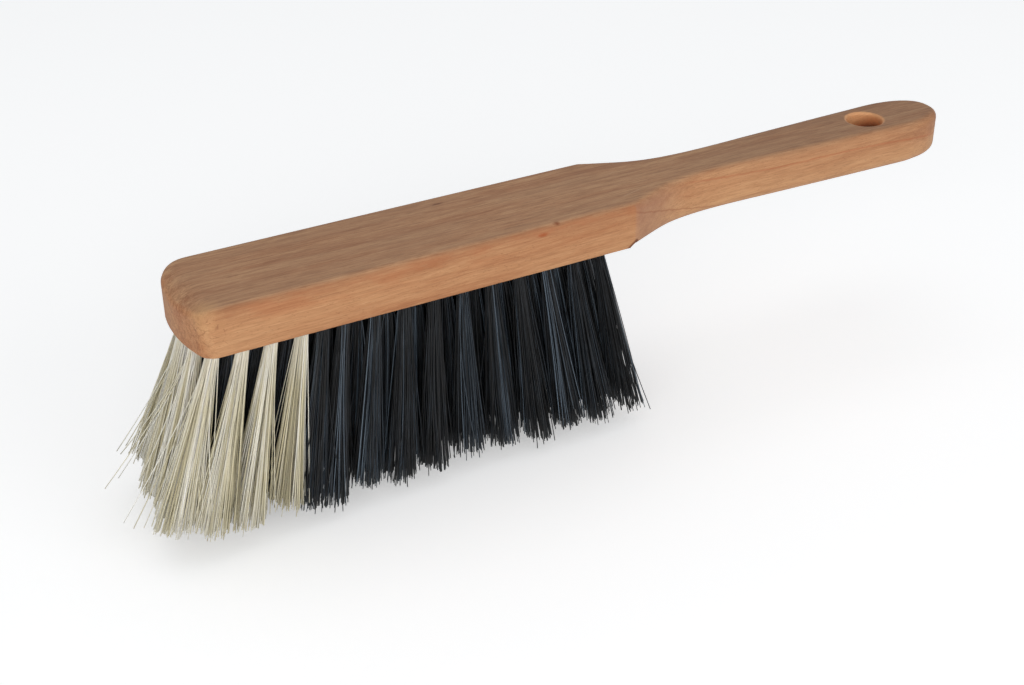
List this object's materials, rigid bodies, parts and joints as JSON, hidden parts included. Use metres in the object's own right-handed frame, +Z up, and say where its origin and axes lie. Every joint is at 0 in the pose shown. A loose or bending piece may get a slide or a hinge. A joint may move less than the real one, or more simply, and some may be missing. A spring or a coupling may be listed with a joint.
{
  "type": "bee brush",
  "caption": "Hand brush with a one-piece beech head and handle, white filament tufts round the nose, black tufts behind them, and a hanging hole at the handle's end.",
  "frame": {"origin": "centre of the hanging hole, half way through the board", "axes": "+Z up through the hanging hole, out of the board's plain top face; +X from the brush head towards the handle's end; bristles point down, to -Z"},
  "size_m": [0.3578, 0.0644, 0.0913],
  "materials": {
    "beech": "sanded, lightly oiled",
    "white_filament": "semi-matt cream filament",
    "black_filament": "semi-gloss black filament",
    "anchor_wire": "flat zinc-plated wire"
  },
  "bodies": {
    "root": {"anchors_centre_row": "anchor_wire", "anchors_far_edge_row": "anchor_wire", "anchors_inner_far_row": "anchor_wire", "anchors_inner_near_row": "anchor_wire", "anchors_near_edge_row": "anchor_wire", "anchors_nose": "anchor_wire", "black_tuft_far_01": "black_filament", "black_tuft_far_02": "black_filament", "black_tuft_far_03": "black_filament", "black_tuft_far_04": "black_filament", "black_tuft_far_05": "black_filament", "black_tuft_far_06": "black_filament", "black_tuft_far_07": "black_filament", "black_tuft_far_08": "black_filament", "black_tuft_far_09": "black_filament", "black_tuft_far_10": "black_filament", "black_tuft_far_11": "black_filament", "black_tuft_near_01": "black_filament", "black_tuft_near_02": "black_filament", "black_tuft_near_03": "black_filament", "black_tuft_near_04": "black_filament", "black_tuft_near_05": "black_filament", "black_tuft_near_06": "black_filament", "black_tuft_near_07": "black_filament", "black_tuft_near_08": "black_filament", "black_tuft_near_09": "black_filament", "black_tuft_near_10": "black_filament", "black_tuft_near_11": "black_filament", "black_tufts_centre_row": "black_filament", "black_tufts_inner_far_row": "black_filament", "black_tufts_inner_near_row": "black_filament", "white_tuft_far_corner": "white_filament", "white_tuft_far_flank_1": "white_filament", "white_tuft_far_flank_2": "white_filament", "white_tuft_far_flank_3": "white_filament", "white_tuft_far_nose": "white_filament", "white_tuft_near_corner": "white_filament", "white_tuft_near_flank_1": "white_filament", "white_tuft_near_flank_2": "white_filament", "white_tuft_near_flank_3": "white_filament", "white_tuft_near_nose": "white_filament", "wooden_stock": "beech"}
  },
  "joints": []
}
